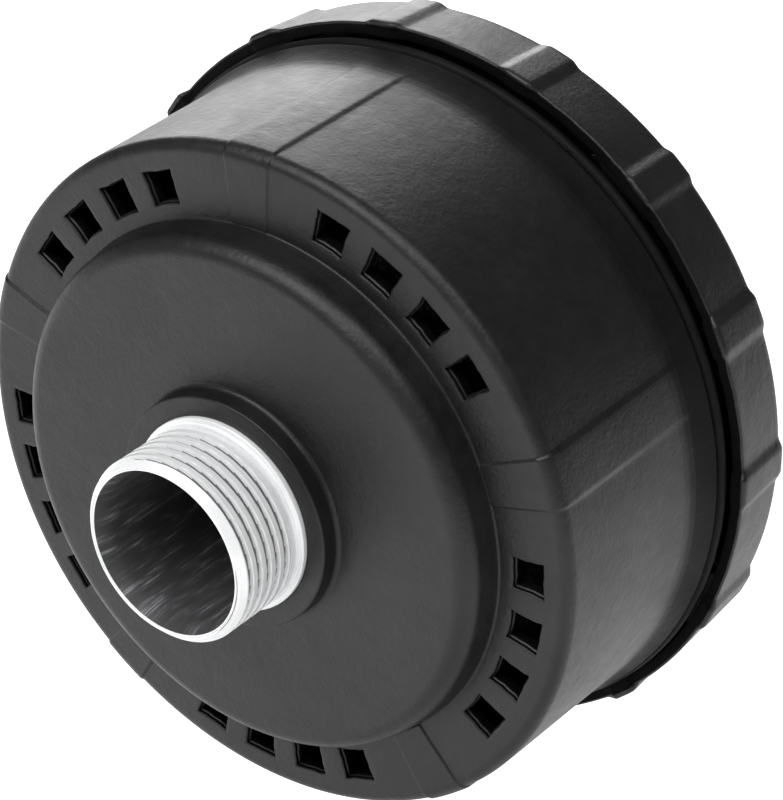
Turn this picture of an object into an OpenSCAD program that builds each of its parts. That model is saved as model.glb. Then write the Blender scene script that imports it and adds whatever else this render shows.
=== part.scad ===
// Air intake silencer with a screw-off grip cover, a pleated filter cartridge
// and a metal pipe-thread nipple. The modules work in a local frame: local z
// runs along the axis, z = 0 is the slotted front face of the housing and the
// nipple points to +z. lay() turns that frame so the nipple points to -Y, and
// puts the origin on the axis at the nipple's shoulder, where a port seats.

/* [Nipple] */
// Outer diameter of the thread over its crests (G 3/4)
thread_d = 26.441; // [26.0:0.001:26.9]
// Thread pitch (14 threads per inch)
thread_pitch = 1.814; // [1.7:0.001:1.9]
// Depth of the thread groove
thread_depth = 1.162; // [0.8:0.001:1.2]
// Diameter of the air bore
nipple_bore_d = 22; // [18:0.5:22.4]
// Height of the threaded end above the shoulder
nipple_h = 11.4; // [10.5:0.1:14]
// Diameter of the shoulder ring
collar_d = 28; // [27.6:0.1:29]

/* [Housing] */
// Radius of the side wall at the front corner
body_r = 48.75; // [48.4:0.05:49]
// Wall thickness of the moulding
wall = 2.4; // [2:0.1:2.8]
// Radius of the front corner rounding
corner_r = 1.8; // [1:0.1:2.2]
// Radius of the raised front disc at its base
disc_r = 37.9; // [36.5:0.1:39]
// Height of the raised disc above the slotted face
disc_h = 5.9; // [5.5:0.1:6.3]
// Rounding of the disc's shoulder
disc_round = 2.8; // [1:0.1:3.2]
// Radius of the hub around the nipple
hub_r = 16.8; // [16:0.1:18]
// Height of the hub above the disc
hub_h = 3.0; // [2.6:0.1:3.4]

/* [Air slots] */
// Slot groups round the front face
groups = 5; // [4:1:5]
// Slots in each group
slots_per_group = 4; // [3:1:4]
// Angle from slot to slot, degrees
slot_step = 11.42; // [10.5:0.01:11.5]
// Angle that one slot takes, degrees
slot_w = 6.55; // [5:0.01:7]
// Inner radius of the slots
slot_ri = 40.1; // [39.6:0.1:41]
// Outer radius of the slots
slot_ro = 44.8; // [44:0.1:45.2]
// Angle of the first slot group's centre, degrees
group_phase = 57.3; // [0:0.1:72]
// Width of the raised strips between the groups, degrees
strip_w = 8.6; // [4:0.1:10]
// Height of the raised strips
strip_d = 0.45; // [0.2:0.05:0.6]

/* [Cover] */
// Radius of the cover's skirt between the grip ribs
cover_r = 52.6; // [52.2:0.05:52.8]
// Radial height of a grip rib
rib_h = 0.85; // [0.4:0.05:1.2]
// Number of grip ribs
ribs = 15; // [10:1:20]
// Angle that one rib takes, degrees
rib_w = 6.2; // [4:0.1:8]
// Lead of the lug thread that holds the cover
cover_lead = 20; // [18:1:22]

/* [Filter cartridge] */
// Number of pleats
pleats = 60; // [40:1:64]
// Radius over the pleats
pleat_ro = 32.6; // [31:0.1:33]
// Radius inside the pleats
pleat_ri = 21.6; // [21.4:0.1:23]
// Thickness of the filter paper
paper_t = 0.9; // [0.5:0.1:0.9]

/* [Hidden] */

seat_z = 9.6;                    // shoulder of the nipple in the local frame
tip_z = seat_z + nipple_h;       // end of the nipple
thread_r = thread_d / 2;
root_r = thread_r - thread_depth;
bore_r = nipple_bore_d / 2;
hub_z = disc_h + hub_h;
rim_z = -35.15;                  // front rim of the cover's skirt
back_z = -46;                    // flat back face of the cover
neck_z = -41.2;                  // rear end of the housing
neck_r = 48.9;                   // outside of the housing's neck
inner_r = 46.3;                  // inside of the housing
strip_phase = group_phase - 37.2;
rib_phase = 0.8;

black = [0.10, 0.10, 0.11];
metal = [0.86, 0.87, 0.88];

module lay() { rotate([90, 0, 0]) translate([0, 0, -seat_z]) children(); }

// points of an arc from angle a0 to a1, degrees
function arc(cx, cy, r, a0, a1, n) =
    [for (i = [0:n]) let (a = a0 + (a1 - a0) * i / n) [cx + r * cos(a), cy + r * sin(a)]];

// a closed sector ring: the [r, z] outline turned through w degrees from a0
module sector(outline, a0, w) {
    rotate([0, 0, a0]) rotate_extrude(angle = w, $fn = 96) polygon(outline);
}

// a bar with a rectangular section that climbs along a helix
module helix_bar(ri, ro, z0, z1, a0, a1, lead, n) {
    pts = [for (i = [0:n]) let (a = a0 + (a1 - a0) * i / n, dz = lead * a / 360)
        each [[ri * cos(a), ri * sin(a), z0 + dz], [ro * cos(a), ro * sin(a), z0 + dz],
              [ro * cos(a), ro * sin(a), z1 + dz], [ri * cos(a), ri * sin(a), z1 + dz]]];
    sides = [for (i = [0:n - 1]) for (k = [0:3]) let (a = 4 * i + k, b = 4 * i + (k + 1) % 4)
        each [[a, b, b + 4], [a, b + 4, a + 4]]];
    polyhedron(points = pts, faces = concat([[3, 2, 1, 0]], sides,
        [[4 * n, 4 * n + 1, 4 * n + 2, 4 * n + 3]]), convexity = 6);
}

// the V groove of the pipe thread, wound from below the first crest to past the tip
module thread_groove(z_from, z_to) {
    ro = thread_r + 0.2;
    wb = 0.151;
    wo = wb + (ro - root_r) * tan(27.5);
    steps = 24;
    n = ceil((z_to - z_from) / thread_pitch * steps);
    pts = [for (i = [0:n]) let (a = 360 * i / steps, z = z_from + thread_pitch * i / steps)
        each [[root_r * cos(a), root_r * sin(a), z - wb], [ro * cos(a), ro * sin(a), z - wo],
              [ro * cos(a), ro * sin(a), z + wo], [root_r * cos(a), root_r * sin(a), z + wb]]];
    sides = [for (i = [0:n - 1]) for (k = [0:3]) let (a = 4 * i + k, b = 4 * i + (k + 1) % 4)
        each [[a, b, b + 4], [a, b + 4, a + 4]]];
    polyhedron(points = pts, faces = concat([[3, 2, 1, 0]], sides,
        [[4 * n, 4 * n + 1, 4 * n + 2, 4 * n + 3]]), convexity = 10);
}

// ---- housing group ---------------------------------------------------------

housing_outline = concat(
    // hub bore with the counterbore for the shoulder seal
    [[13.1, 1.5], [13.1, 8.0], [14.2, 8.0], [14.2, hub_z]],
    [[hub_r - 0.25, hub_z], [hub_r, hub_z - 0.25]],
    // fillet where the hub meets the disc
    arc(hub_r + 0.7, disc_h + 0.7, 0.7, 180, 270, 6),
    // soft shoulder of the disc
    arc(disc_r - 0.35 - disc_round, disc_h - disc_round, disc_round, 90, 0, 12),
    [[disc_r, 0.25], [disc_r + 0.25, 0]],
    // front corner and the drafted side wall
    arc(body_r - corner_r, -corner_r, corner_r, 90, 0, 8),
    [[49.15, -26.5]],
    [for (i = [1:7]) [49.15 + 1.2 * pow(i / 7, 2), -26.5 - 5.6 * i / 7]],
    // step, groove and bead of the rear flange
    [[50.4, -32.5], [50.0, -32.6], [50.0, -33.0], [50.5, -33.1]],
    arc(50.1, -33.8, 0.8, 40, -40, 6),
    [[50.5, -34.6], [50.0, -34.7], [50.0, -35.0], [neck_r, -35.0]],
    // neck and the inside
    [[neck_r, neck_z + 0.3], [neck_r - 0.3, neck_z], [inner_r + 0.4, neck_z], [inner_r, neck_z + 0.6]],
    [[inner_r, -wall - 0.9], [inner_r - 0.9, -wall], [36.6, -wall]],
    [[35.5, -wall + 1.1], [35.5, 2.7], [34.7, 3.5], [18.5, 3.5], [18.5, 1.5]]);

module housing() {
    color(black) lay() {
        difference() {
            rotate_extrude($fn = 96) polygon(housing_outline);
            for (g = [0:groups - 1]) for (s = [0:slots_per_group - 1])
                sector([[slot_ri, -wall - 1], [slot_ro, -wall - 1], [slot_ro, 1], [slot_ri, 1]],
                       group_phase + g * 360 / groups + (s - (slots_per_group - 1) / 2) * slot_step
                       - slot_w / 2, slot_w);
        }
        // raised strips, over the front edge and down the side until the flare takes them in
        for (g = [0:groups - 1])
            sector([[disc_r - 0.5, -1.1], [body_r - 1.3, -1.1], [body_r - 1.1, -1.5], [body_r - 0.9, -30.7],
                    [49.72, -30.7], [49.62, -26.5], [body_r + strip_d, -corner_r],
                    [body_r - corner_r + 0.71 * (corner_r + strip_d), -corner_r + 0.71 * (corner_r + strip_d)],
                    [body_r - corner_r, strip_d], [disc_r - 0.5, strip_d]],
                   strip_phase + g * 360 / groups - strip_w / 2, strip_w);
        // lug thread that holds the cover
        for (g = [0:4])
            rotate([0, 0, 72 * g + 8])
                helix_bar(neck_r - 0.5, 50.4, -41.0, -39.75, 0, 50, cover_lead, 14);
    }
}

module threaded_nipple() {
    color(metal) lay()
        difference() {
            rotate_extrude($fn = 96) polygon([
                [bore_r + 0.5, tip_z], [12.3, tip_z], [thread_r, tip_z - 0.95],
                [thread_r, seat_z + 1.55], [11.9, seat_z + 0.95], [11.9, seat_z + 0.45],
                [13.3, seat_z + 0.45], [13.3, seat_z], [collar_d / 2 - 0.15, seat_z],
                [collar_d / 2, seat_z - 0.15], [collar_d / 2, 8.7],
                [13.0, 8.7], [13.0, -4.2], [12.7, -4.5],
                [11.75, -4.5], [11.75, -0.5], [bore_r, -0.5], [bore_r, tip_z - 0.5]]);
            thread_groove(seat_z + 0.6, tip_z + 1.2);
        }
}

module nipple_seal() {
    color([0.12, 0.12, 0.12]) lay() rotate_extrude($fn = 96)
        polygon([[13.15, 8.05], [14.1, 8.05], [14.1, 8.65], [13.15, 8.65]]);
}

module lock_washer() {
    color(metal) lay() difference() {
        translate([0, 0, 0.3]) cylinder(r = 17.8, h = 1.2, $fn = 96);
        translate([0, 0, 0]) cylinder(r = 13.1, h = 2, $fn = 96);
        // tab slot against turning
        translate([12, -1.5, 0]) cube([2.6, 3, 2]);
    }
}

module ring_nut() {
    color(metal) lay() difference() {
        rotate_extrude($fn = 96)
            polygon([[13.06, 0.25], [13.06, -3.8], [16.9, -3.8], [17.4, -3.3], [17.4, 0.25]]);
        // four spanner notches
        for (k = [0:3]) rotate([0, 0, 45 + 90 * k]) translate([15.9, -1.8, -5]) cube([3, 3.6, 6]);
    }
}

module silencer_tube() {
    color([0.80, 0.81, 0.82]) lay() difference() {
        rotate_extrude($fn = 96)
            polygon([[10.8, -0.7], [11.7, -0.7], [11.7, -29.6], [12.6, -30.4], [12.6, -31.0],
                     [12.1, -31.0], [10.8, -29.8]]);
        // perforations in four staggered rows
        for (row = [0:3]) for (k = [0:11])
            rotate([0, 0, 30 * k + 15 * (row % 2)]) translate([9, 0, -9.5 - 5 * row])
                rotate([0, 90, 0]) cylinder(r = 1.25, h = 5, $fn = 24);
    }
}

module absorber_sleeve() {
    color([0.75, 0.70, 0.55]) lay() rotate_extrude($fn = 96)
        polygon([[11.75, -6.6], [16.3, -6.6], [16.8, -7.1], [16.8, -26.9], [16.3, -27.4], [11.75, -27.4]]);
}

module absorber_clip() {
    color(metal) lay() difference() {
        translate([0, 0, -28.4]) cylinder(r = 15.6, h = 0.95, $fn = 96);
        translate([0, 0, -29]) cylinder(r = 11.75, h = 3, $fn = 96);
        // spring slots that let the clip grip the tube
        for (k = [0:5]) rotate([0, 0, 60 * k]) translate([11, -0.6, -29]) cube([2.6, 1.2, 3]);
    }
}

// ---- cartridge group -------------------------------------------------------

module front_end_cap() {
    color([0.16, 0.16, 0.17]) lay() rotate_extrude($fn = 96)
        polygon([[19.9, 1.9], [34.4, 1.9], [34.9, 1.4], [34.9, -2.6], [33.9, -2.6],
                 [33.9, -0.4], [20.4, -0.4], [20.4, -2.6], [19.9, -2.6]]);
}

module front_seal_ring() {
    color([0.08, 0.08, 0.08]) lay() rotate_extrude($fn = 96)
        polygon([[23.0, 1.95], [32.0, 1.95], [32.0, 2.9], [31.5, 3.35], [23.5, 3.35], [23.0, 2.9]]);
}

module rear_end_cap() {
    color([0.16, 0.16, 0.17]) lay() difference() {
        translate([0, 0, -40.6]) cylinder(r = 34.9, h = 5.0, $fn = 96);
        // channel for the media
        difference() {
            translate([0, 0, -37.9]) cylinder(r = 33.9, h = 4, $fn = 96);
            translate([0, 0, -38.5]) cylinder(r = 20.4, h = 5, $fn = 96);
        }
        // dish inside the core
        translate([0, 0, -38.2]) cylinder(r = 19.6, h = 4, $fn = 96);
        // socket for the cover's centring boss
        translate([0, 0, -41]) cylinder(r = 10.08, h = 2.2, $fn = 96);
    }
}

// one closed zigzag band of folded paper
pleat_pts = [for (k = [0:pleats - 1]) each [
    [pleat_ro * cos(360 * k / pleats), pleat_ro * sin(360 * k / pleats)],
    [pleat_ri * cos(360 * (k + 0.5) / pleats), pleat_ri * sin(360 * (k + 0.5) / pleats)]]];
pleat_in = [for (k = [0:pleats - 1]) each [
    [(pleat_ro - 3.2 * paper_t) * cos(360 * k / pleats), (pleat_ro - 3.2 * paper_t) * sin(360 * k / pleats)],
    [(pleat_ri - 0.75) * cos(360 * (k + 0.5) / pleats), (pleat_ri - 0.75) * sin(360 * (k + 0.5) / pleats)]]];

module pleated_media() {
    color([0.93, 0.90, 0.80]) lay() translate([0, 0, -37.8]) linear_extrude(37.3, convexity = 20)
        difference() {
            polygon(pleat_pts);
            polygon(pleat_in);
        }
}

module inner_core() {
    color([0.80, 0.81, 0.82]) lay() difference() {
        translate([0, 0, -37.8]) cylinder(r = 20.75, h = 37.3, $fn = 96);
        translate([0, 0, -39]) cylinder(r = 20.45, h = 40, $fn = 96);
        for (row = [0:5]) for (k = [0:17])
            rotate([0, 0, 20 * k + 10 * (row % 2)]) translate([19, 0, -6 - 5.3 * row])
                rotate([0, 90, 0]) cylinder(r = 1.6, h = 4, $fn = 24);
    }
}

module outer_screen() {
    color([0.80, 0.81, 0.82]) lay() difference() {
        translate([0, 0, -37.8]) cylinder(r = 33.5, h = 37.3, $fn = 96);
        translate([0, 0, -39]) cylinder(r = 32.8, h = 40, $fn = 96);
        for (row = [0:5]) for (k = [0:23])
            rotate([0, 0, 15 * k + 7.5 * (row % 2)]) translate([31, 0, -6 - 5.2 * row])
                rotate([0, 90, 0]) cylinder(r = 2.0, h = 4, $fn = 24);
    }
}

module foam_prefilter() {
    color([0.13, 0.13, 0.13]) lay() rotate_extrude($fn = 96)
        polygon([[35.0, -2.9], [37.4, -2.9], [38.0, -3.5], [38.0, -39.6], [37.4, -40.2], [35.0, -40.2]]);
}

// ---- cover group -----------------------------------------------------------

cover_outline = [
    [0, back_z + 0.5], [26, back_z + 0.5], [27, back_z], [50.9, back_z],
    [51.6, back_z + 0.35], [cover_r - 0.5, back_z + 0.9], [cover_r, rim_z - 0.35],
    [cover_r - 0.35, rim_z], [51.05, rim_z], [51.0, rim_z - 0.3], [51.0, back_z + 3.0],
    [50.4, back_z + 2.4], [49.9, back_z + 2.4], [49.9, back_z + 3.2], [49.3, back_z + 3.2], [49.3, back_z + 2.4],
    [46.0, back_z + 2.4], [46.0, back_z + 3.4], [45.0, back_z + 3.4], [45.0, back_z + 2.4],
    [10.0, back_z + 2.4], [10.0, -39.3], [9.7, -39.0], [6.5, -39.0], [6.5, back_z + 2.4],
    [0, back_z + 2.4]];

module cover() {
    color(black) lay() {
        rotate_extrude($fn = 96) polygon(cover_outline);
        // grip ribs
        for (k = [0:ribs - 1])
            sector([[cover_r - 1.2, back_z + 0.25], [cover_r - 0.1, back_z + 0.25],
                    [cover_r + rib_h - 0.5, back_z + 0.6], [cover_r + rib_h, rim_z - 0.3],
                    [cover_r + rib_h - 0.2, rim_z - 0.1], [cover_r - 1.2, rim_z - 0.1]],
                   rib_phase + k * 360 / ribs - rib_w / 2, rib_w);
        // lugs that ride on the housing's lug thread
        for (g = [0:4])
            rotate([0, 0, 72 * g + 8])
                helix_bar(49.45, 51.5, -39.5, -38.1, 36, 48, cover_lead, 4);
    }
}

module cover_gasket() {
    color([0.06, 0.06, 0.06]) lay() rotate_extrude($fn = 96)
        polygon([[46.1, back_z + 2.45], [49.2, back_z + 2.45], [49.2, -41.7], [48.9, -41.4], [46.4, -41.4], [46.1, -41.7]]);
}

module acoustic_pad() {
    color([0.30, 0.30, 0.31]) lay() rotate_extrude($fn = 96)
        polygon([[10.1, back_z + 2.45], [44.9, back_z + 2.45], [44.9, -41.3], [44.5, -40.95], [10.5, -40.95], [10.1, -41.3]]);
}

housing();
threaded_nipple();
nipple_seal();
lock_washer();
ring_nut();
silencer_tube();
absorber_sleeve();
absorber_clip();
front_end_cap();
front_seal_ring();
rear_end_cap();
pleated_media();
inner_core();
outer_screen();
foam_prefilter();
cover();
cover_gasket();
acoustic_pad();
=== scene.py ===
import math
import random

import bmesh
import bpy
import numpy as np
from mathutils import Matrix, Vector


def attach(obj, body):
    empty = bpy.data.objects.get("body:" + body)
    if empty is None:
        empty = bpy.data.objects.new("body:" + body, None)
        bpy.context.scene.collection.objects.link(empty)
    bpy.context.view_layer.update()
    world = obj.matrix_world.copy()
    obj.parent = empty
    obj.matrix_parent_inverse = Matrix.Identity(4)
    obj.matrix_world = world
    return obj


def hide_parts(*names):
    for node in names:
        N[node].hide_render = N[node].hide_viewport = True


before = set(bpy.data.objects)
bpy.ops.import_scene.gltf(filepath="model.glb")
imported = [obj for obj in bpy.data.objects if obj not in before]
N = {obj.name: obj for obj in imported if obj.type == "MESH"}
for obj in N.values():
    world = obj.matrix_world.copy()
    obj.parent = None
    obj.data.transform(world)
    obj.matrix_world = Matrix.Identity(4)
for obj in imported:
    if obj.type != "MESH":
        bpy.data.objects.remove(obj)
sc = bpy.context.scene
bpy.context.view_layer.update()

SEAT = 9.6          # local z of the nipple's shoulder, mm; local z runs along the axis towards the nipple
U = 0.001
rng = random.Random(7)


# ---------------------------------------------------------------- helpers
def to_world(r, z, t):
    """Local radius, height and angle (mm, mm, rad) to the row frame in metres."""
    return np.stack([r * np.cos(t), -(z - SEAT), r * np.sin(t)], -1) * U


def arc(cx, cy, r, a0, a1, n):
    return [(cx + r * math.cos(math.radians(a0 + (a1 - a0) * i / n)),
             cy + r * math.sin(math.radians(a0 + (a1 - a0) * i / n))) for i in range(n + 1)]


def smooth(x):
    x = np.clip(x, 0, 1)
    return x * x * (3 - 2 * x)


def finish_mesh(name, verts, faces, body, replaces=(), sharp=32):
    me = bpy.data.meshes.new(name)
    me.from_pydata(verts.tolist() if hasattr(verts, "tolist") else verts, [], faces)
    me.validate()
    bm = bmesh.new()
    bm.from_mesh(me)
    bmesh.ops.recalc_face_normals(bm, faces=bm.faces)
    bm.to_mesh(me)
    bm.free()
    me.shade_smooth()
    me.set_sharp_from_angle(angle=math.radians(sharp))
    ob = bpy.data.objects.new(name, me)
    sc.collection.objects.link(ob)
    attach(ob, body)
    if replaces:
        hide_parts(*replaces)
    return ob


def angles(n, marks=()):
    """Column angles in degrees: about n even ones plus clusters round the marks (angle, offsets)."""
    fixed = sorted({round((m + o) % 360, 4) for m, offs in marks for o in offs})
    f = np.array(fixed) if fixed else np.zeros(0)
    keep = []
    for a in np.arange(n) * 360.0 / n:
        if not len(f) or np.abs((f - a + 180) % 360 - 180).min() > 0.22:
            keep.append(a)
    return np.array(sorted(set(fixed) | set(keep)))


def lathe(name, outline, body, cols=144, disp=None, closed=True, marks=(), replaces=(), sharp=32,
          jitter=0.0):
    """Turns an [r, z] outline round the axis. disp(r, z, nr, nz, t) gives the inward shift in mm."""
    pts = np.array(outline, float)
    n = len(pts)
    nxt, prv = np.roll(pts, -1, 0), np.roll(pts, 1, 0)
    if not closed:
        nxt[-1], prv[0] = pts[-1], pts[0]
    tan = nxt - prv
    tan /= np.maximum(np.linalg.norm(tan, axis=1, keepdims=True), 1e-9)
    area = 0.5 * np.sum(pts[:, 0] * nxt[:, 1] - nxt[:, 0] * pts[:, 1])
    s = 1 if area > 0 else -1
    nor = np.stack([tan[:, 1], -tan[:, 0]], 1) * s
    T = np.radians(angles(cols, marks))
    m = len(T)
    R = np.repeat(pts[:, 0][:, None], m, 1)
    Z = np.repeat(pts[:, 1][:, None], m, 1)
    TT = np.repeat(T[None, :], n, 0)
    if disp is not None:
        d = disp(R, Z, nor[:, 0][:, None] + 0 * R, nor[:, 1][:, None] + 0 * R, TT)
        R = R - nor[:, 0][:, None] * d
        Z = Z - nor[:, 1][:, None] * d
    V = to_world(R, Z, TT).reshape(-1, 3)
    F = []
    rows = n if closed else n - 1
    for i in range(rows):
        i2 = (i + 1) % n
        for j in range(m):
            j2 = (j + 1) % m
            F.append((i * m + j, i * m + j2, i2 * m + j2, i2 * m + j))
    return finish_mesh(name, V, F, body, replaces, sharp)


def rounded(outline, radius=0.15, n=3):
    """Rounds every corner of a closed [r, z] outline with a small arc."""
    out = []
    pts = [Vector((p[0], p[1])) for p in outline]
    k = len(pts)
    for i in range(k):
        a, b, c = pts[i - 1], pts[i], pts[(i + 1) % k]
        u, v = (a - b), (c - b)
        lu, lv = u.length, v.length
        if lu < 1e-6 or lv < 1e-6:
            continue
        u /= lu
        v /= lv
        ang = u.angle(v)
        if ang > math.radians(155):
            out.append((b.x, b.y))
            continue
        d = min(radius / math.tan(ang / 2), lu * 0.45, lv * 0.45)
        p, q = b + u * d, b + v * d
        for j in range(n + 1):
            t = j / n
            w = p * (1 - t) ** 2 + b * 2 * t * (1 - t) + q * t * t
            out.append((w.x, w.y))
    return out


# ---------------------------------------------------------------- materials
class Mat:
    def __init__(self, name):
        self.m = bpy.data.materials.new(name)
        self.m.use_nodes = True
        self.nt = self.m.node_tree
        self.nt.nodes.clear()
        self.out = self.n("ShaderNodeOutputMaterial")
        self.b = self.n("ShaderNodeBsdfPrincipled")
        self.nt.links.new(self.b.outputs[0], self.out.inputs[0])
        self.tc = self.n("ShaderNodeTexCoord")
        self.normal = None

    def n(self, kind, **kw):
        node = self.nt.nodes.new(kind)
        for k, v in kw.items():
            setattr(node, k, v)
        return node

    def link(self, a, b):
        self.nt.links.new(a, b)

    def coords(self, scale=(1, 1, 1)):
        mp = self.n("ShaderNodeMapping")
        mp.inputs["Scale"].default_value = scale
        self.link(self.tc.outputs["Object"], mp.inputs["Vector"])
        return mp.outputs[0]

    def polar(self, ka=1.0, kr=1.0, ky=1.0):
        """Angle round the axis, radius and height along the axis as one vector."""
        sep = self.n("ShaderNodeSeparateXYZ")
        self.link(self.tc.outputs["Object"], sep.inputs[0])
        at = self.n("ShaderNodeMath", operation="ARCTAN2")
        self.link(sep.outputs[2], at.inputs[0])
        self.link(sep.outputs[0], at.inputs[1])
        x2 = self.n("ShaderNodeMath", operation="MULTIPLY")
        self.link(sep.outputs[0], x2.inputs[0]); self.link(sep.outputs[0], x2.inputs[1])
        z2 = self.n("ShaderNodeMath", operation="MULTIPLY_ADD")
        self.link(sep.outputs[2], z2.inputs[0]); self.link(sep.outputs[2], z2.inputs[1])
        self.link(x2.outputs[0], z2.inputs[2])
        rr = self.n("ShaderNodeMath", operation="SQRT")
        self.link(z2.outputs[0], rr.inputs[0])
        outs = []
        for src, k in ((at.outputs[0], ka), (rr.outputs[0], kr), (sep.outputs[1], ky)):
            mu = self.n("ShaderNodeMath", operation="MULTIPLY")
            self.link(src, mu.inputs[0])
            mu.inputs[1].default_value = k
            outs.append(mu.outputs[0])
        co = self.n("ShaderNodeCombineXYZ")
        for i, o in enumerate(outs):
            self.link(o, co.inputs[i])
        return co.outputs[0]

    def noise(self, vec, scale, detail=3.0, rough=0.55):
        t = self.n("ShaderNodeTexNoise")
        t.inputs["Scale"].default_value = scale
        t.inputs["Detail"].default_value = detail
        t.inputs["Roughness"].default_value = rough
        self.link(vec, t.inputs["Vector"])
        return t.outputs["Fac"]

    def voronoi(self, vec, scale, feature="F1"):
        t = self.n("ShaderNodeTexVoronoi", feature=feature)
        t.inputs["Scale"].default_value = scale
        self.link(vec, t.inputs["Vector"])
        return t.outputs["Distance"]

    def ramp(self, fac, stops):
        r = self.n("ShaderNodeValToRGB")
        el = r.color_ramp.elements
        while len(el) < len(stops):
            el.new(0.5)
        for e, (p, c) in zip(el, stops):
            e.position = p
            e.color = (*c, 1) if len(c) == 3 else c
        self.link(fac, r.inputs[0])
        return r.outputs[0]

    def span(self, fac, lo, hi):
        mr = self.n("ShaderNodeMapRange")
        mr.inputs["From Min"].default_value = 0.25
        mr.inputs["From Max"].default_value = 0.75
        mr.inputs["To Min"].default_value = lo
        mr.inputs["To Max"].default_value = hi
        self.link(fac, mr.inputs["Value"])
        return mr.outputs[0]

    def bump(self, height, dist, strength=1.0):
        b = self.n("ShaderNodeBump")
        b.inputs["Strength"].default_value = strength
        b.inputs["Distance"].default_value = dist
        self.link(height, b.inputs["Height"])
        if self.normal is not None:
            self.link(self.normal, b.inputs["Normal"])
        self.normal = b.outputs[0]

    def done(self, color=None, rough=None, **kw):
        if color is not None:
            if isinstance(color, tuple):
                self.b.inputs["Base Color"].default_value = (*color, 1)
            else:
                self.link(color, self.b.inputs["Base Color"])
        if rough is not None:
            if isinstance(rough, float):
                self.b.inputs["Roughness"].default_value = rough
            else:
                self.link(rough, self.b.inputs["Roughness"])
        for k, v in kw.items():
            self.b.inputs[k].default_value = v
        if self.normal is not None:
            self.link(self.normal, self.b.inputs["Normal"])
        return self.m


def plastic(name, lo, hi, r_lo, r_hi, spec=0.5):
    m = Mat(name)
    c = m.coords()
    tone = m.noise(c, 130, 6, 0.68)
    grain = m.noise(c, 1700, 2, 0.5)
    patch = m.noise(c, 90, 6, 0.65)
    fine = m.noise(c, 520, 3, 0.6)
    m.bump(grain, 0.00007, 0.6)
    m.bump(fine, 0.00011, 0.6)
    m.bump(patch, 0.00034, 0.42)
    mix = m.n("ShaderNodeMath", operation="MULTIPLY_ADD")
    m.link(patch, mix.inputs[0])
    mix.inputs[1].default_value = 0.5
    half = m.n("ShaderNodeMath", operation="MULTIPLY")
    m.link(fine, half.inputs[0])
    half.inputs[1].default_value = 0.5
    m.link(half.outputs[0], mix.inputs[2])
    return m.done(m.ramp(tone, [(0.32, lo), (0.68, hi)]), m.span(mix.outputs[0], r_lo, r_hi),
                  **{"Specular IOR Level": spec})


def metal(name, lo, hi, r_lo, r_hi, rings=4200.0, ring_depth=0.00001, met=1.0):
    m = Mat(name)
    v = m.polar(0.7, rings * 0.35, rings)
    lines = m.noise(v, 1.0, 3, 0.6)
    c = m.coords()
    stain = m.noise(c, 140, 4, 0.6)
    m.bump(lines, ring_depth, 0.6)
    return m.done(m.ramp(stain, [(0.25, lo), (0.75, hi)]), m.span(lines, r_lo, r_hi), **{"Metallic": met})


M = {}
M["housing"] = plastic("black_moulded_plastic", (0.005, 0.005, 0.0053), (0.0105, 0.0105, 0.011), 0.36, 0.52, 0.41)
M["cover"] = plastic("black_cover_plastic", (0.005, 0.005, 0.0053), (0.0105, 0.0105, 0.011), 0.36, 0.50, 0.44)
# painted shade: darker, less glossy copies of the housing plastic for the flare, one per band towards the back
for _k, _s in enumerate((0.33, 0.25, 0.17, 0.10)):
    M["flange%d" % _k] = plastic("black_flange_plastic_%d" % (_k + 1), (0.0045, 0.0045, 0.0048), (0.009, 0.009, 0.0095),
                                 0.38 + 0.02 * _k, 0.54 + 0.02 * _k, _s)
# painted shade: a near-black matte copy of the plastic for the slot walls, the inside and the cover's rim face
M["inside"] = plastic("black_plastic_painted_shade", (0.0012, 0.0012, 0.0012), (0.003, 0.003, 0.003), 0.7, 0.9, 0.10)
M["nipple"] = metal("turned_aluminium", (0.86, 0.87, 0.88), (0.97, 0.975, 0.98), 0.22, 0.36, 2600.0, met=0.12)
M["plated"] = metal("plated_steel", (0.50, 0.51, 0.52), (0.68, 0.69, 0.70), 0.22, 0.42, 1500.0, 0.000008)
M["tube"] = metal("drawn_steel", (0.42, 0.43, 0.44), (0.60, 0.61, 0.62), 0.25, 0.45, 900.0, 0.000006)

M["root"] = metal("thread_root_shade", (0.24, 0.24, 0.245), (0.38, 0.38, 0.39), 0.4, 0.6, 2600.0, met=0.3)

# the drawn bore of the nipple: dark metal with fine streaks along the axis
_m = Mat("drawn_bore")
_v = _m.polar(46.0, 6.0, 52.0)
_l = _m.noise(_v, 1.0, 6, 0.72)
_p = _m.noise(_m.polar(7.0, 4.0, 160.0), 1.0, 3, 0.5)
_x = _m.n("ShaderNodeMath", operation="MULTIPLY")
_m.link(_l, _x.inputs[0])
_m.link(_p, _x.inputs[1])
_m.bump(_l, 0.00008, 0.5)
M["bore"] = _m.done(_m.ramp(_x.outputs[0], [(0.22, (0.065, 0.065, 0.067)), (0.30, (0.10, 0.10, 0.105)), (0.37, (0.29, 0.29, 0.30))]),
                    _m.span(_l, 0.42, 0.6), **{"Metallic": 0.25})


def rubber(name, col, r_lo=0.55, r_hi=0.75):
    m = Mat(name)
    c = m.coords()
    g = m.noise(c, 900, 3, 0.6)
    p = m.noise(c, 90, 4, 0.6)
    m.bump(g, 0.00006, 0.5)
    d = tuple(x * 0.7 for x in col)
    return m.done(m.ramp(p, [(0.3, d), (0.7, col)]), m.span(g, r_lo, r_hi))


M["seal"] = rubber("seal_rubber", (0.020, 0.020, 0.021))
M["cap"] = rubber("cast_polyurethane", (0.040, 0.041, 0.044), 0.42, 0.6)

_m = Mat("filter_paper")
_c = _m.coords()
_f = _m.noise(_c, 2200, 6, 0.7)
_p = _m.noise(_c, 120, 4, 0.6)
_m.bump(_f, 0.00008, 0.6)
M["paper"] = _m.done(_m.ramp(_p, [(0.3, (0.66, 0.58, 0.40)), (0.7, (0.80, 0.73, 0.56))]), _m.span(_f, 0.75, 0.92))

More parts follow.
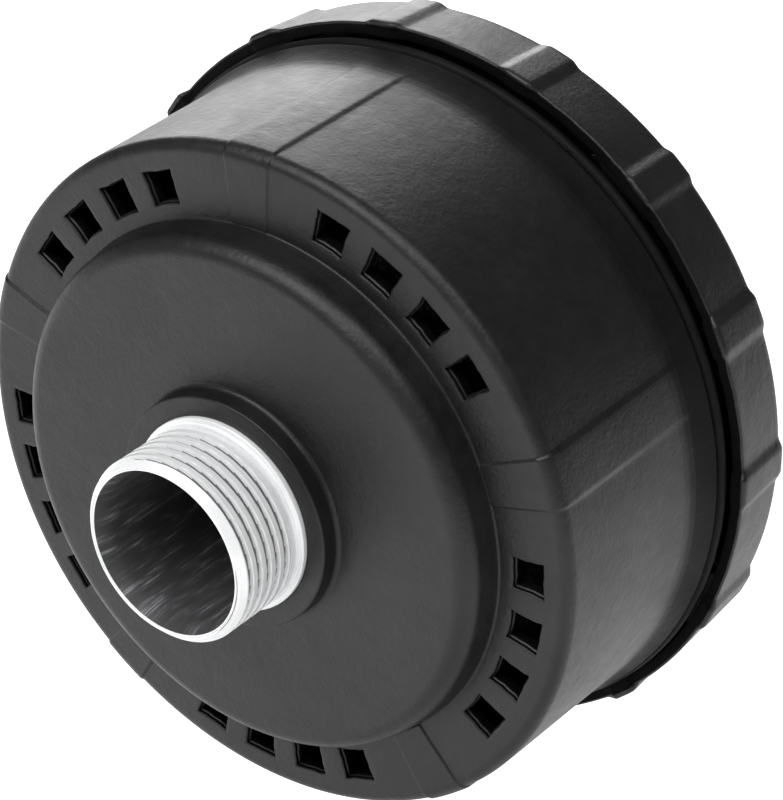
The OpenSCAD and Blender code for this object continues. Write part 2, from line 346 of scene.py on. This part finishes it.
_m = Mat("open_cell_foam")
_c = _m.coords()
_a = _m.voronoi(_c, 1100)
_b = _m.noise(_c, 420, 3, 0.6)
_m.bump(_a, 0.00045, 0.9)
M["foam"] = _m.done(_m.ramp(_a, [(0.05, (0.055, 0.055, 0.056)), (0.55, (0.010, 0.010, 0.010))]), _m.span(_b, 0.8, 0.95))


def felt(name, lo, hi):
    m = Mat(name)
    v = m.coords((1, 2.2, 1))
    f = m.noise(v, 1400, 7, 0.75)
    p = m.noise(m.coords(), 160, 4, 0.6)
    m.bump(f, 0.00035, 0.8)
    m.bump(p, 0.0004, 0.5)
    return m.done(m.ramp(f, [(0.3, lo), (0.7, hi)]), m.span(p, 0.85, 0.97), **{"Sheen Weight": 0.25})


M["felt"] = felt("needled_felt", (0.34, 0.30, 0.22), (0.60, 0.55, 0.43))
M["pad"] = felt("grey_felt", (0.045, 0.045, 0.048), (0.13, 0.13, 0.135))


def paint(ob, mat):
    ob.data.materials.clear()
    ob.data.materials.append(mat)


# ---------------------------------------------------------------- housing
BODY_R, CORNER, DISC_R, DISC_H, DISC_RND = 48.75, 1.8, 37.9, 5.9, 2.8
HUB_R, HUB_Z, WALL, INNER = 16.8, 8.9, 2.4, 46.3
S_RI, S_RO, S_STEP, S_W = 40.1, 44.8, 11.42, 6.55
GROUP, STRIP_D, STRIP_W = 57.3, 0.24, 8.6
NECK_R, NECK_Z = 48.9, -41.2
slot_edges, strip_mid = [], []
for g in range(5):
    for s in range(4):
        c = GROUP + 72 * g + (s - 1.5) * S_STEP
        slot_edges.append((c - S_W / 2, c + S_W / 2))
    strip_mid.append(GROUP - 37.2 + 72 * g)
F_R = 0.24                       # rounding of the slot edges, mm
F_A = math.degrees(F_R / 42.4)   # the same as an angle


def strip_mask(tdeg, soft=0.32):
    m = np.zeros_like(tdeg)
    for c in strip_mid:
        d = np.abs((tdeg - c + 180) % 360 - 180)
        m = np.maximum(m, smooth((STRIP_W / 2 + soft - d) / (2 * soft)))
    return m


def make_housing():
    ramp_i = [S_RI - F_R, S_RI - F_R * 0.62, S_RI - F_R * 0.28, S_RI - F_R * 0.08, S_RI]
    mid = [41.0, 42.0, 43.0, 44.0]
    ramp_o = [S_RO, S_RO + F_R * 0.08, S_RO + F_R * 0.28, S_RO + F_R * 0.62, S_RO + F_R]
    front = [38.2, 38.5, 38.9, 39.4] + ramp_i + mid + ramp_o + [45.6, 46.3]
    path = [(13.1, 1.5), (13.1, 4.0), (13.1, 8.0), (14.04, 8.0), (14.04, HUB_Z - 0.1)]
    path += arc(14.14, HUB_Z - 0.1, 0.1, 180, 90, 3)
    path += [(15.0, HUB_Z), (16.0, HUB_Z)]
    path += arc(HUB_R - 0.3, HUB_Z - 0.3, 0.3, 90, 0, 6)
    path += [(HUB_R, 7.8), (HUB_R, 7.2)]
    path += arc(HUB_R + 0.7, DISC_H + 0.7, 0.7, 180, 270, 8)
    path += [(r, DISC_H) for r in (19, 22, 25, 28, 31, 33)]
    path += arc(DISC_R - 0.35 - DISC_RND, DISC_H - DISC_RND, DISC_RND, 90, 0, 16)
    path += [(DISC_R - 0.2, 1.9), (DISC_R - 0.05, 0.9)]
    path += arc(DISC_R + 0.35, 0.35, 0.35, 180, 270, 6)[1:]
    i0 = len(path)
    path += [(r, 0.0) for r in front]
    f_rows = range(i0, i0 + len(front))
    path += arc(BODY_R - CORNER, -CORNER, CORNER, 90, 0, 14)
    side_top = len(path)
    path += [(BODY_R + 0.4 * (z / -24.7), -1.8 - 24.7 * (z / -24.7)) for z in (-1.0, -3, -6, -10, -14, -18, -22)]
    path += [(49.15, -26.5)]
    path += [(49.15 + 1.2 * (k / 12) ** 2, -26.5 - 5.6 * k / 12) for k in range(1, 13)]
    path += arc(50.2, -32.33, 0.22, 20, -60, 5)
    path += [(50.02, -32.68), (50.0, -32.95)]
    path += arc(50.1, -33.8, 0.8, 62, -62, 14)
    path += [(50.02, -34.72), (50.0, -34.9), (49.9, -35.0), (49.4, -35.0), (NECK_R, -35.0)]
    path += [(NECK_R, -36.5), (NECK_R, -38.5), (NECK_R, NECK_Z + 0.3), (NECK_R - 0.3, NECK_Z)]
    path += [(INNER + 0.4, NECK_Z), (INNER, NECK_Z + 0.6), (INNER, -34), (INNER, -25), (INNER, -15), (INNER, -8)]
    path += arc(INNER - 0.9, -WALL - 0.9, 0.9, 0, 90, 5)
    i1 = len(path)
    back = [r for r in front if r <= S_RO + F_R][::-1]
    back = [r for r in back if r >= 39.4]
    path += [(r, -WALL) for r in back]
    path += [(37.6, -WALL), (36.6, -WALL), (35.5, -1.3), (35.5, 0.8), (35.5, 2.7), (34.7, 3.5), (30, 3.5), (25, 3.5),
             (18.5, 3.5), (18.5, 1.5)]
    P = np.array(path)
    n = len(P)
    nxt, prv = np.roll(P, -1, 0), np.roll(P, 1, 0)
    tan = nxt - prv
    tan /= np.linalg.norm(tan, axis=1, keepdims=True)
    area = 0.5 * np.sum(P[:, 0] * nxt[:, 1] - nxt[:, 0] * P[:, 1])
    sgn = 1 if area > 0 else -1
    nor = np.stack([tan[:, 1], -tan[:, 0]], 1) * sgn
    nor[side_top - 1:side_top + 1] = [1, 0]
    offs = [0, F_A * 0.08, F_A * 0.28, F_A * 0.62, F_A]
    marks = [(a, [-o for o in offs]) for a, b in slot_edges] + [(b, offs) for a, b in slot_edges]
    marks += [(c + sd * STRIP_W / 2, [-0.62, -0.45, -0.32, -0.24, -0.16, -0.08, 0.0, 0.08, 0.16, 0.24, 0.32, 0.45, 0.62]) for c in strip_mid for sd in (-1, 1)]
    D = angles(300, marks)
    # even columns inside a slot would only be cut away
    T = np.radians(D)
    m = len(T)
    col = {}
    for a, b in slot_edges:
        col[(a, b)] = (int(np.argmin(np.abs((D - a + 180) % 360 - 180))), int(np.argmin(np.abs((D - b + 180) % 360 - 180))))
    R = np.repeat(P[:, 0][:, None], m, 1)
    Z = np.repeat(P[:, 1][:, None], m, 1)
    TT = np.repeat(T[None], n, 0).copy()
    depth = np.zeros((n, m))
    # raised strips, over the slotted face, the front edge and down the side until the flare takes them in
    sm, wide = strip_mask(D), strip_mask(D, 0.62)
    for i in range(i0, i1):
        r, z = P[i]
        if i in f_rows:
            w = STRIP_D * float(smooth(np.array((r - 37.6) / 0.25)))
        elif z > -2.0 and r > 46:
            w = STRIP_D
        elif r > 48.5 and z > -32.2:
            w = max(0.0, 49.05 + 0.42 * (-z / 27.0) - r)
            w = w * float(smooth(np.array((z + 32.0) / 5.0)))
        else:
            w = 0.0
        depth[i] -= w * (wide if z < -2.0 else sm)
    # rounded slot edges
    for (a, b), (ja, jb) in col.items():
        for i in f_rows:
            r = P[i, 0]
            if r < S_RI - F_R - 1e-6 or r > S_RO + F_R + 1e-6:
                continue
            dr = max(S_RI - r, r - S_RO, 0.0)
            j = (ja - 6) % m
            for _ in range((jb - ja) % m + 13):
                t = D[j]
                rel = (t - a + 180) % 360 - 180
                dt = max(-rel, rel - (b - a), 0.0) / F_A * F_R
                d = math.hypot(dr, dt)
                if d < F_R:
                    depth[i, j] = max(depth[i, j], F_R - math.sqrt(max(0.0, F_R ** 2 - (F_R - d) ** 2)))
                j = (j + 1) % m
    R = R - nor[:, 0][:, None] * depth
    Z = Z - nor[:, 1][:, None] * depth
    # the slot edges bow in and are slightly uneven, as moulded ones are
    half_a, half_b, r_mid = math.radians(S_W / 2) * 42.45, (S_RO - S_RI) / 2, (S_RO + S_RI) / 2
    slot_rows = list(f_rows) + list(range(i1, i1 + len(back)))
    for k, ((a, b), (ja, jb)) in enumerate(col.items()):
        bow = [0.03 + 0.16 * rng.random() for _ in range(4)]
        amp = [0.5 + 1.1 * rng.random() for _ in range(4)]
        ph = [6.28 * rng.random() for _ in range(8)]
        mid_t = math.radians((a + b) / 2)
        for j in [(ja - 7 + q) % m for q in range((jb - ja) % m + 15)]:
            t = (T[j] - mid_t + math.pi) % (2 * math.pi) - math.pi
            for i in slot_rows:
                r = P[i, 0]
                u, w = t * 42.45, r - r_mid
                if abs(w) > half_b + 1.0 or abs(u) > half_a + 1.0:
                    continue
                su, sw = (0 if u < 0 else 1), (2 if w < 0 else 3)
                ku = math.exp(-(max(0.0, abs(u) - half_a) / 0.45) ** 2) * math.exp(-(max(0.0, half_a - abs(u)) / 0.35) ** 2)
                kw = math.exp(-(max(0.0, abs(w) - half_b) / 0.45) ** 2) * math.exp(-(max(0.0, half_b - abs(w)) / 0.35) ** 2)
                fu = max(0.0, 1 - (w / half_b) ** 2)
                fw = max(0.0, 1 - (u / half_a) ** 2)
                nu = amp[su] * (0.05 * math.sin(w * 2.7 + ph[su]) + 0.04 * math.sin(w * 6.1 + ph[su + 4]))
                nw = amp[sw] * (0.05 * math.sin(u * 2.9 + ph[sw]) + 0.04 * math.sin(u * 6.5 + ph[sw + 4]))
                du = -math.copysign(1, u) * (bow[su] * fu + nu * min(1, fu * 2)) * ku
                dw = -math.copysign(1, w) * (bow[sw] * fw + nw * min(1, fw * 2)) * kw
                TT[i, j] += du / 42.45
                R[i, j] += dw
    V = to_world(R, Z, TT).reshape(-1, 3)
    cut = {}
    def in_rows(i):
        return S_RI - 1e-6 <= P[i, 0] and P[(i + 1) % n, 0] <= S_RO + 1e-6 and P[i, 0] < P[(i + 1) % n, 0]
    def in_rows_b(i):
        return P[i, 0] <= S_RO + 1e-6 and P[(i + 1) % n, 0] >= S_RI - 1e-6 and P[i, 0] > P[(i + 1) % n, 0]
    fr = [i for i in f_rows if i + 1 in f_rows and in_rows(i)]
    br = [i for i in range(i1, i1 + len(back) - 1) if in_rows_b(i)]
    hole = set()
    for (a, b), (ja, jb) in col.items():
        j = ja
        while j != jb:
            for i in fr + br:
                hole.add((i, j))
            j = (j + 1) % m
    F = []
    for i in range(n):
        i2 = (i + 1) % n
        for j in range(m):
            if (i, j) in hole:
                continue
            j2 = (j + 1) % m
            F.append((i * m + j, i * m + j2, i2 * m + j2, i2 * m + j))
    row_b = {round(P[i, 0], 4): i for i in range(i1, i1 + len(back))}
    fi = [i for i in f_rows if S_RI - 1e-6 <= P[i, 0] <= S_RO + 1e-6]
    V = list(map(tuple, V))
    painted_shade_walls = set()
    for (a, b), (ja, jb) in col.items():
        loop = [(fi[k], ja) for k in range(len(fi))]
        j = (ja + 1) % m
        while j != jb:
            loop.append((fi[-1], j))
            j = (j + 1) % m
        loop += [(fi[k], jb) for k in range(len(fi) - 1, -1, -1)]
        j = (jb - 1) % m
        while j != ja:
            loop.append((fi[0], j))
            j = (j - 1) % m
        mid_t = math.radians((a + b) / 2)
        c3 = to_world(np.array(r_mid), np.array(0.0), np.array(mid_t))
        er = np.array([math.cos(mid_t), 0, math.sin(mid_t)])
        et = np.array([-math.sin(mid_t), 0, math.cos(mid_t)])
        rings = [[i * m + j for i, j in loop]]
        for z, inset in ((-0.62, 0.0), (-0.78, 0.17), (-0.94, 0.2), (-1.5, 0.12)):
            ring = []
            for i, j in loop:
                p = np.array(V[i * m + j])
                d = p - c3
                u, w = float(d @ et) * 1000, float(d @ er) * 1000
                u -= math.copysign(inset, u) * min(1.0, max(0.0, (abs(u) - half_a * 0.55) / (half_a * 0.3)))
                w -= math.copysign(inset, w) * min(1.0, max(0.0, (abs(w) - half_b * 0.55) / (half_b * 0.3)))
                q = c3 + (et * u + er * w) * U
                V.append((float(q[0]), float(-(z - SEAT) * U), float(q[2])))
                ring.append(len(V) - 1)
            rings.append(ring)
        rings.append([row_b[round(P[i, 0], 4)] * m + j for i, j in loop])
        L = len(loop)
        for k in range(len(rings) - 1):
            for q in range(L):
                q2 = (q + 1) % L
                F.append((rings[k][q], rings[k][q2], rings[k + 1][q2], rings[k + 1][q]))
                if k not in (1,):
                    painted_shade_walls.add(len(F) - 1)
    V = np.array(V)
    # vertices inside the slots are left out
    used = sorted({v for f in F for v in f})
    new = {v: k for k, v in enumerate(used)}
    V = V[used]
    F = [tuple(new[v] for v in f) for f in F]
    ob = finish_mesh("housing_shell", V, F, "housing_unit", ["housing"], 40)
    paint(ob, M["housing"])
    ob.data.materials.append(M["inside"])
    # painted shade: the slot walls take the near-black copy, while the ledge ring stays plain plastic
    if len(ob.data.polygons) == len(F):
        for k in painted_shade_walls:
            ob.data.polygons[k].material_index = 1
    for k in range(4):
        ob.data.materials.append(M["flange%d" % k])
    for p in ob.data.polygons:
        c = p.center
        r, z = math.hypot(c.x, c.z) * 1000, SEAT - c.y * 1000
        # painted shade: near-black on the inside and the neck, darker bands on the flare towards the back
        if (r < 46.35 and z < -2.0) or (r < 49.5 and z < -34.95):
            p.material_index = 1
        elif r > 48.9 and z < -26.6:
            p.material_index = 2 + min(3, int((-26.6 - z) / 0.75))
    return ob


def helix_lug(name, ri, ro, z0, z1, a0, a1, lead, n, body, mat, shift):
    """One lug of the cover's thread: a bar with rounded long edges and run-out ends."""
    sec = rounded([(ri, z0), (ro, z0 + 0.15), (ro, z1 - 0.15), (ri, z1)], 0.22, 3)
    V, F = [], []
    k = len(sec)
    for i in range(n + 1):
        f = i / n
        a = a0 + (a1 - a0) * f
        end = min(1.0, min(f, 1 - f) * n / 1.5 + 0.35)
        for r, z in sec:
            rr = ri + (r - ri) * end if ro > ri else ri - (ri - r) * end
            V.append(to_world(np.array(rr), np.array(z + lead * a / 360), np.array(math.radians(a + shift))))
    for i in range(n):
        for j in range(k):
            F.append((i * k + j, i * k + (j + 1) % k, (i + 1) * k + (j + 1) % k, (i + 1) * k + j))
    F.append(tuple(range(k))[::-1])
    F.append(tuple(n * k + j for j in range(k)))
    ob = finish_mesh(name, np.array(V), F, body, (), 50)
    paint(ob, mat)
    return ob


make_housing()
for g in range(5):
    helix_lug("housing_lug_%d" % (g + 1), NECK_R - 0.4, 50.4, -41.0, -39.75, 0, 50, 20, 28, "housing_unit",
              M["housing"], 72 * g + 8)


# ---------------------------------------------------------------- nipple
def make_nipple():
    pitch, crest, root = 1.814, 13.2205, 12.0585
    tip, m = SEAT + 11.4, 256
    T = np.arange(m) / m * 2 * np.pi
    z = list(np.arange(SEAT + 1.0, tip - 0.001, 0.055)) + [tip]
    Zt = np.array(z)

    def thread(zz, tt):
        u = ((zz - (SEAT + 0.6)) / pitch - tt / (2 * np.pi)) % 1.0
        d = np.minimum(u, 1 - u) * pitch            # distance from the groove's middle
        prof = (d - 0.08) / 0.42
        h = np.clip(prof, 0, 1)
        h = h + 0.05 * (smooth(np.clip((d - 0.6) / 0.3, 0, 1)))
        return root + (crest - root) * np.clip(h, 0, 1)

    rows_r, rows_z = [], []
    def add(r, zz):
        rows_r.append(np.full(m, float(r)) if np.isscalar(r) else r)
        rows_z.append(np.full(m, float(zz)))
    # shank, shoulder ring and relief, from the inside out
    for r, zz in [(11.75, -0.5), (11.75, -4.3), (11.85, -4.5), (12.6, -4.5)]:
        add(r, zz)
    for r, zz in arc(12.7, -4.2, 0.3, 270, 360, 3):
        add(r, zz)
    for r, zz in [(13.0, 0.0), (13.0, 4.0), (13.0, 8.7), (13.8, 8.7)]:
        add(r, zz)
    for r, zz in arc(13.85, 8.85, 0.15, 270, 360, 3):
        add(r, zz)
    for r, zz in arc(13.82, SEAT - 0.18, 0.18, 0, 90, 5):
        add(r, zz)
    for r, zz in [(13.5, SEAT), (13.33, SEAT + 0.02), (13.3, SEAT + 0.12), (13.3, SEAT + 0.34)]:
        add(r, zz)
    for r, zz in arc(13.2, SEAT + 0.37, 0.1, 0, 90, 3):
        add(r, zz)
    for r, zz in [(12.4, SEAT + 0.5), (12.05, SEAT + 0.6), (11.92, SEAT + 0.8)]:
        add(r, zz)
    for zz in Zt:
        r = thread(zz, T)
        ramp = 11.9 + (zz - (SEAT + 0.95)) / 0.6 * (crest - 11.9)      # run-out towards the relief
        cham = 12.3 + (tip - zz) / 0.95 * (crest - 12.3)               # lead-in chamfer at the tip
        r = np.minimum(r, max(ramp, 11.9))
        r = np.minimum(r, cham)
        add(r, zz)
    for r, zz in [(12.24, tip), (12.16, tip), (12.12, tip - 0.05), (12.10, tip - 0.17), (12.02, tip - 0.18), (12.0, tip - 0.06),
                  (11.96, tip - 0.03), (11.87, tip - 0.03), (11.81, tip - 0.06), (11.78, tip - 0.14)]:
        add(r, zz)
    for r, zz in [(11.66, tip - 0.45), (11.46, tip - 1.0), (11.24, tip - 1.7), (11.08, tip - 2.4), (11.0, tip - 3.2), (11.0, tip - 5), (11.0, tip - 9), (11.0, tip - 14),
                  (11.0, 3.0), (11.0, -0.5)]:
        add(r, zz)
    R, Z = np.array(rows_r), np.array(rows_z)
    n = len(R)
    V = to_world(R, Z, np.repeat(T[None], n, 0)).reshape(-1, 3)
    F = []
    for i in range(n):
        i2 = (i + 1) % n
        for j in range(m):
            j2 = (j + 1) % m
            F.append((i * m + j, i * m + j2, i2 * m + j2, i2 * m + j))
    ob = finish_mesh("nipple_turned", V, F, "housing_unit", ["threaded_nipple"], 38)
    paint(ob, M["nipple"])
    ob.data.materials.append(M["bore"])
    ob.data.materials.append(M["root"])
    for p in ob.data.polygons:
        c = p.center
        r = math.hypot(c.x, c.z) * 1000
        zl = SEAT - c.y * 1000
        if r < 11.77 and -0.5 < zl < tip - 0.15:
            p.material_index = 1
        elif SEAT + 1.5 < zl < tip - 0.9 and r < root + 0.56 * (crest - root):
            p.material_index = 2
    return ob


make_nipple()


# ---------------------------------------------------------------- cover
COVER_R, RIB_H, BACK_Z, RIM_Z = 52.75, 0.65, -46.0, -35.15
rib_mid = [0.8 + 24 * k for k in range(15)]


def rib_mask(tdeg):
    m = np.zeros_like(tdeg)
    for c in rib_mid:
        d = np.abs((tdeg - c + 180) % 360 - 180)
        m = np.maximum(m, smooth((4.0 - d) / 2.3))
    return m


def make_cover():
    # gate mark in the middle of the dish, a step in the dish and a fine groove round the back face
    path = [(0.02, BACK_Z + 0.72), (1.0, BACK_Z + 0.72), (1.6, BACK_Z + 0.70), (1.85, BACK_Z + 0.54), (2.1, BACK_Z + 0.5),
            (4.6, BACK_Z + 0.5), (4.75, BACK_Z + 0.56), (5.05, BACK_Z + 0.56), (5.2, BACK_Z + 0.5),
            (12, BACK_Z + 0.5), (15.6, BACK_Z + 0.5), (15.85, BACK_Z + 0.62), (16.1, BACK_Z + 0.74), (16.4, BACK_Z + 0.78),
            (20.6, BACK_Z + 0.78), (20.9, BACK_Z + 0.74), (21.15, BACK_Z + 0.62), (21.4, BACK_Z + 0.5), (24, BACK_Z + 0.5)]
    path += [(25.6, BACK_Z + 0.49), (26.1, BACK_Z + 0.44), (26.5, BACK_Z + 0.25), (26.9, BACK_Z + 0.06), (27.4, BACK_Z)]
    path += [(32, BACK_Z), (38, BACK_Z), (44, BACK_Z), (45.0, BACK_Z), (45.12, BACK_Z + 0.08), (45.22, BACK_Z + 0.28),
             (45.4, BACK_Z + 0.35), (45.8, BACK_Z + 0.35), (45.98, BACK_Z + 0.28), (46.08, BACK_Z + 0.08), (46.2, BACK_Z),
             (48, BACK_Z), (50.7, BACK_Z)]
    path += [(51.2, BACK_Z + 0.02), (51.68, BACK_Z + 0.14), (51.96, BACK_Z + 0.38), (52.12, BACK_Z + 0.7)]
    z0 = len(path)
    k = 14
    for i in range(k + 1):
        f = i / k
        path.append((COVER_R - 0.5 + 0.5 * f, BACK_Z + 1.0 + (RIM_Z - 0.4 - BACK_Z - 1.0) * f))
    path += arc(COVER_R - 0.3, RIM_Z - 0.3, 0.3, 0, 90, 6)[1:]
    path += [(51.9, RIM_Z), (51.4, RIM_Z), (51.08, RIM_Z - 0.08), (51.0, RIM_Z - 0.3)]
    path += [(51.0, -38), (51.0, -40), (51.0, BACK_Z + 3.0), (50.4, BACK_Z + 2.4), (49.9, BACK_Z + 2.4),
             (49.9, BACK_Z + 3.2), (49.3, BACK_Z + 3.2), (49.3, BACK_Z + 2.4), (47.5, BACK_Z + 2.4), (46.0, BACK_Z + 2.4),
             (46.0, BACK_Z + 3.4), (45.0, BACK_Z + 3.4), (45.0, BACK_Z + 2.4), (35, BACK_Z + 2.4), (20, BACK_Z + 2.4),
             (10.0, BACK_Z + 2.4), (10.0, -41), (10.0, -39.3), (9.7, -39.0), (8, -39.0), (6.5, -39.0), (6.5, -41),
             (6.5, BACK_Z + 2.4), (3, BACK_Z + 2.4), (0.02, BACK_Z + 2.4)]
    marks = [(c + sd * 2.85, [-1.16, -0.9, -0.68, -0.45, -0.22, 0.0, 0.22, 0.45, 0.68, 0.9, 1.16]) for c in rib_mid for sd in (-1, 1)]

    def disp(R, Z, nr, nz, T):
        w = np.where((R > 51.2) & (Z <= RIM_Z + 0.01), 1.0, 0.0) * smooth((Z - (BACK_Z + 0.02)) / 0.9 + 0.15)
        w = w * np.where((Z > RIM_Z - 0.001) & (R < 52.2), 0, 1)
        return -RIB_H * w * rib_mask(np.degrees(T)) * np.clip(nr, 0, 1)

    ob = lathe("cover_shell", path, "cover_unit", 240, disp, True, marks, ["cover"], 48)
    paint(ob, M["cover"])
    ob.data.materials.append(M["inside"])
    # the rim runs a little forward at the ribs and is slightly uneven
    for v in ob.data.vertices:
        r, z = math.hypot(v.co.x, v.co.z) * 1000, SEAT - v.co.y * 1000
        if r > 50.9 and z > RIM_Z - 0.5:
            t = math.atan2(v.co.z, v.co.x)
            w = float(rib_mask(np.array([math.degrees(t)]))[0])
            k = min(1.0, (z - RIM_Z + 0.5) / 0.2)
            v.co.y -= (0.42 * w + 0.05 * math.sin(t * 61) + 0.04 * math.sin(t * 147 + 1) + 0.03 * math.sin(t * 263)) * k * U
    # painted shade: the inside of the cover and the front face of its rim take the near-black copy of the plastic
    for p in ob.data.polygons:
        c = p.center
        r, z = math.hypot(c.x, c.z) * 1000, SEAT - c.y * 1000
        if (r < 51.9 and z > BACK_Z + 2.3) or (r < 52.3 and z > RIM_Z - 0.12):
            p.material_index = 1
    return ob


make_cover()
for g in range(5):
    helix_lug("cover_lug_%d" % (g + 1), 51.2, 49.45, -39.5, -38.1, 36, 48, 20, 10, "cover_unit",
              M["cover"], 72 * g + 8)


def soften(o, ang=32):
    me = o.data
    me.shade_smooth()
    me.set_sharp_from_angle(angle=math.radians(ang))


for name, key in (("nipple_seal", "seal"), ("lock_washer", "plated"), ("ring_nut", "nipple"), ("silencer_tube", "tube"),
                  ("absorber_clip", "plated"), ("front_seal_ring", "seal"), ("inner_core", "plated"),
                  ("outer_screen", "plated"), ("cover_gasket", "seal"), ("absorber_sleeve", "felt"),
                  ("front_end_cap", "cap"), ("rear_end_cap", "cap"), ("pleated_media", "paper"),
                  ("foam_prefilter", "foam"), ("acoustic_pad", "pad")):
    if name in N:
        paint(N[name], M[key])
        soften(N[name])

# ---------------------------------------------------------------- floor, lights, camera
FLOOR = -0.11


def floor():
    me = bpy.data.meshes.new("floor")
    s = 6.0
    me.from_pydata([(-s, -s, FLOOR), (s, -s, FLOOR), (s, s, FLOOR), (-s, s, FLOOR)], [], [(0, 1, 2, 3)])
    ob = bpy.data.objects.new("floor", me)
    sc.collection.objects.link(ob)
    m = Mat("pale_floor")
    t = m.noise(m.coords(), 3.0, 3, 0.5)
    # painted shadow: the floor's glow is turned down in a soft disc under the part, and the glow also fades far from it
    mp = m.n("ShaderNodeMapping")
    mp.inputs["Location"].default_value = (-0.04, 0.02, 0)
    m.link(m.tc.outputs["Object"], mp.inputs["Vector"])
    sep = m.n("ShaderNodeSeparateXYZ")
    m.link(mp.outputs[0], sep.inputs[0])
    flat = m.n("ShaderNodeCombineXYZ")
    m.link(sep.outputs[0], flat.inputs[0])
    m.link(sep.outputs[1], flat.inputs[1])
    ln = m.n("ShaderNodeVectorMath", operation="LENGTH")
    m.link(flat.outputs[0], ln.inputs[0])
    mr = m.n("ShaderNodeMapRange", interpolation_type="SMOOTHSTEP")
    mr.inputs["From Min"].default_value = 0.055
    mr.inputs["From Max"].default_value = 0.135
    mr.inputs["To Min"].default_value = 0.06
    mr.inputs["To Max"].default_value = 0.80
    m.link(ln.outputs["Value"], mr.inputs["Value"])
    far = m.n("ShaderNodeMapRange", interpolation_type="SMOOTHSTEP")
    far.inputs["From Min"].default_value = 0.70
    far.inputs["From Max"].default_value = 1.70
    far.inputs["To Min"].default_value = 1.0
    far.inputs["To Max"].default_value = 0.30
    m.link(ln.outputs["Value"], far.inputs["Value"])
    mul = m.n("ShaderNodeMath", operation="MULTIPLY")
    m.link(mr.outputs[0], mul.inputs[0])
    m.link(far.outputs[0], mul.inputs[1])
    m.link(mul.outputs[0], m.b.inputs["Emission Strength"])
    paint(ob, m.done(m.ramp(t, [(0.3, (0.80, 0.80, 0.80)), (0.7, (0.82, 0.82, 0.82))]), 0.9,
                     **{"Emission Color": (1, 1, 1, 1), "Specular IOR Level": 0.0}))


floor()

world = bpy.data.worlds.new("studio")
sc.world = world
world.use_nodes = True
world.node_tree.nodes["Background"].inputs[0].default_value = (1, 1, 1, 1)
world.node_tree.nodes["Background"].inputs[1].default_value = 0.13


def area(name, loc, target, size, power, size_y=None, spread=None):
    li = bpy.data.lights.new(name, "AREA")
    li.shape = "RECTANGLE"
    li.size = size
    li.size_y = size_y or size
    li.energy = power
    if spread:
        li.spread = math.radians(spread)
    ob = bpy.data.objects.new(name, li)
    sc.collection.objects.link(ob)
    ob.location = loc
    d = Vector(target) - Vector(loc)
    ob.rotation_mode = "QUATERNION"
    ob.rotation_quaternion = d.to_track_quat("-Z", "Y")
    return ob


area("strip_back_left", (-0.68, 0.70, 0.25), (0, 0.02, 0), 0.5, 3.6, 0.42)
area("soft_back_left_high", (-0.42, 0.72, 0.62), (0, 0.02, 0), 0.55, 2.8, 0.42)
area("soft_top_front", (-0.22, -0.68, 0.88), (0, 0, 0), 0.78, 9.9, 0.78)
area("small_high_right", (0.25, -0.15, 0.50), (0.0, -0.01, 0.01), 0.26, 0.88, 0.26)

cam_data = bpy.data.cameras.new("camera")
cam = bpy.data.objects.new("camera", cam_data)
sc.collection.objects.link(cam)
sc.camera = cam
right = Vector((0.80447528, 0.59398614, 0.0)).normalized()
fwd = Vector((-0.51233791, 0.69389361, -0.50598569)).normalized()
up = right.cross(fwd).normalized()
right = fwd.cross(up).normalized()
rot = Matrix((right, up, -fwd)).transposed()
cam.location = (0.22433, 0.0096 - 0.27537, 0.22116)
cam.rotation_mode = "QUATERNION"
cam.rotation_quaternion = rot.to_quaternion()
cam_data.sensor_fit = "AUTO"
cam_data.sensor_width = 36.0
cam_data.lens = 3139.2 * 36.0 / 800.0
cam_data.clip_start = 0.01
cam_data.clip_end = 30
sc.view_settings.view_transform = "Standard"
sc.view_settings.look = "None"
sc.view_settings.exposure = 0.0
